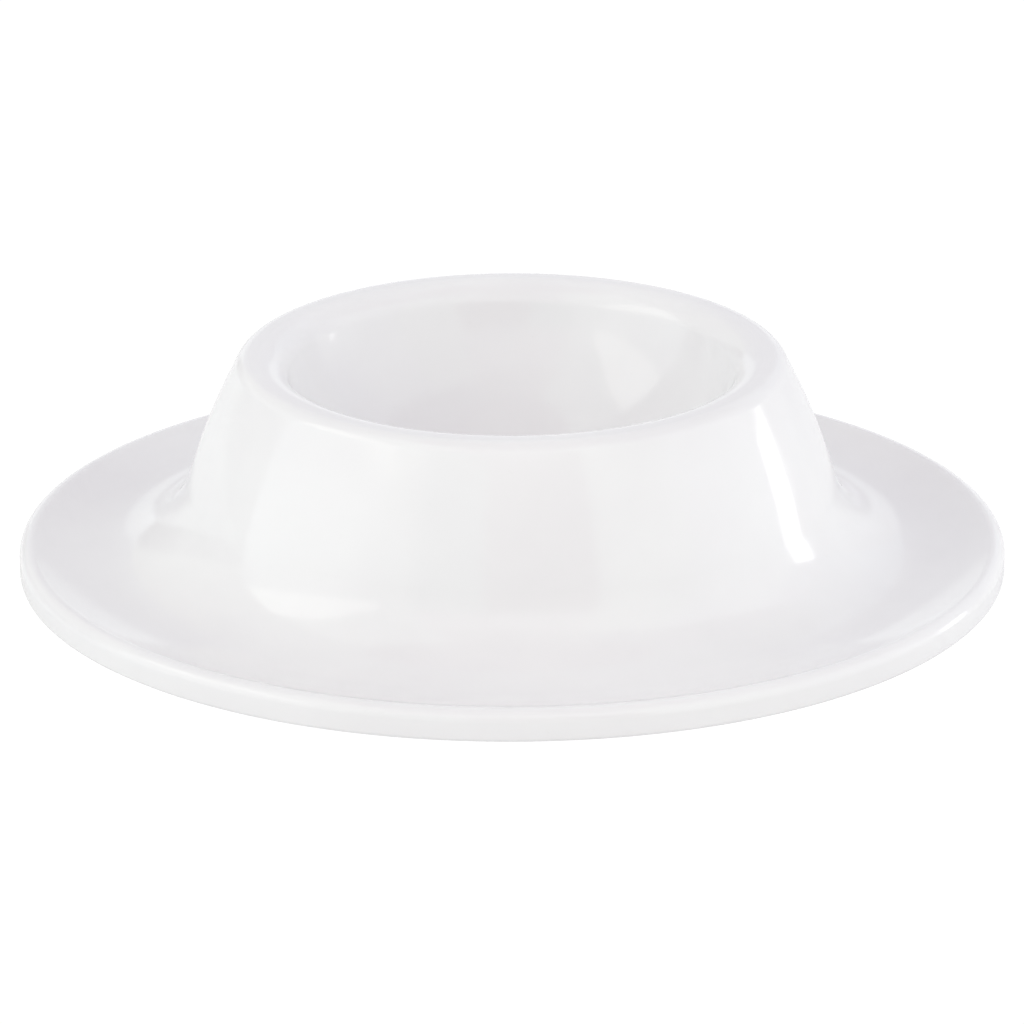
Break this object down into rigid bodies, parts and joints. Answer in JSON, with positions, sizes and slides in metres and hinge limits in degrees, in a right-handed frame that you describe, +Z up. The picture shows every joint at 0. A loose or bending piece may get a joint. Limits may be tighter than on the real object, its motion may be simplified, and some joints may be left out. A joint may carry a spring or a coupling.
{
  "type": "egg cup",
  "caption": "Low round egg cup moulded together with its wide dished saucer: round egg bowl, broad rounded lip, tapered wall, squared rim, hollow underside with a foot ring.",
  "frame": {"origin": "centre of the foot ring's plane, on the cup's axis", "axes": "+Z up along the axis of the bowl; X and Y lie in the table plane and are interchangeable, because the part is turned"},
  "size_m": [0.085, 0.085, 0.0208],
  "materials": {
    "white_melamine": "high gloss moulded white"
  },
  "bodies": {
    "root": {"egg_cup_body": "white_melamine"}
  },
  "joints": []
}
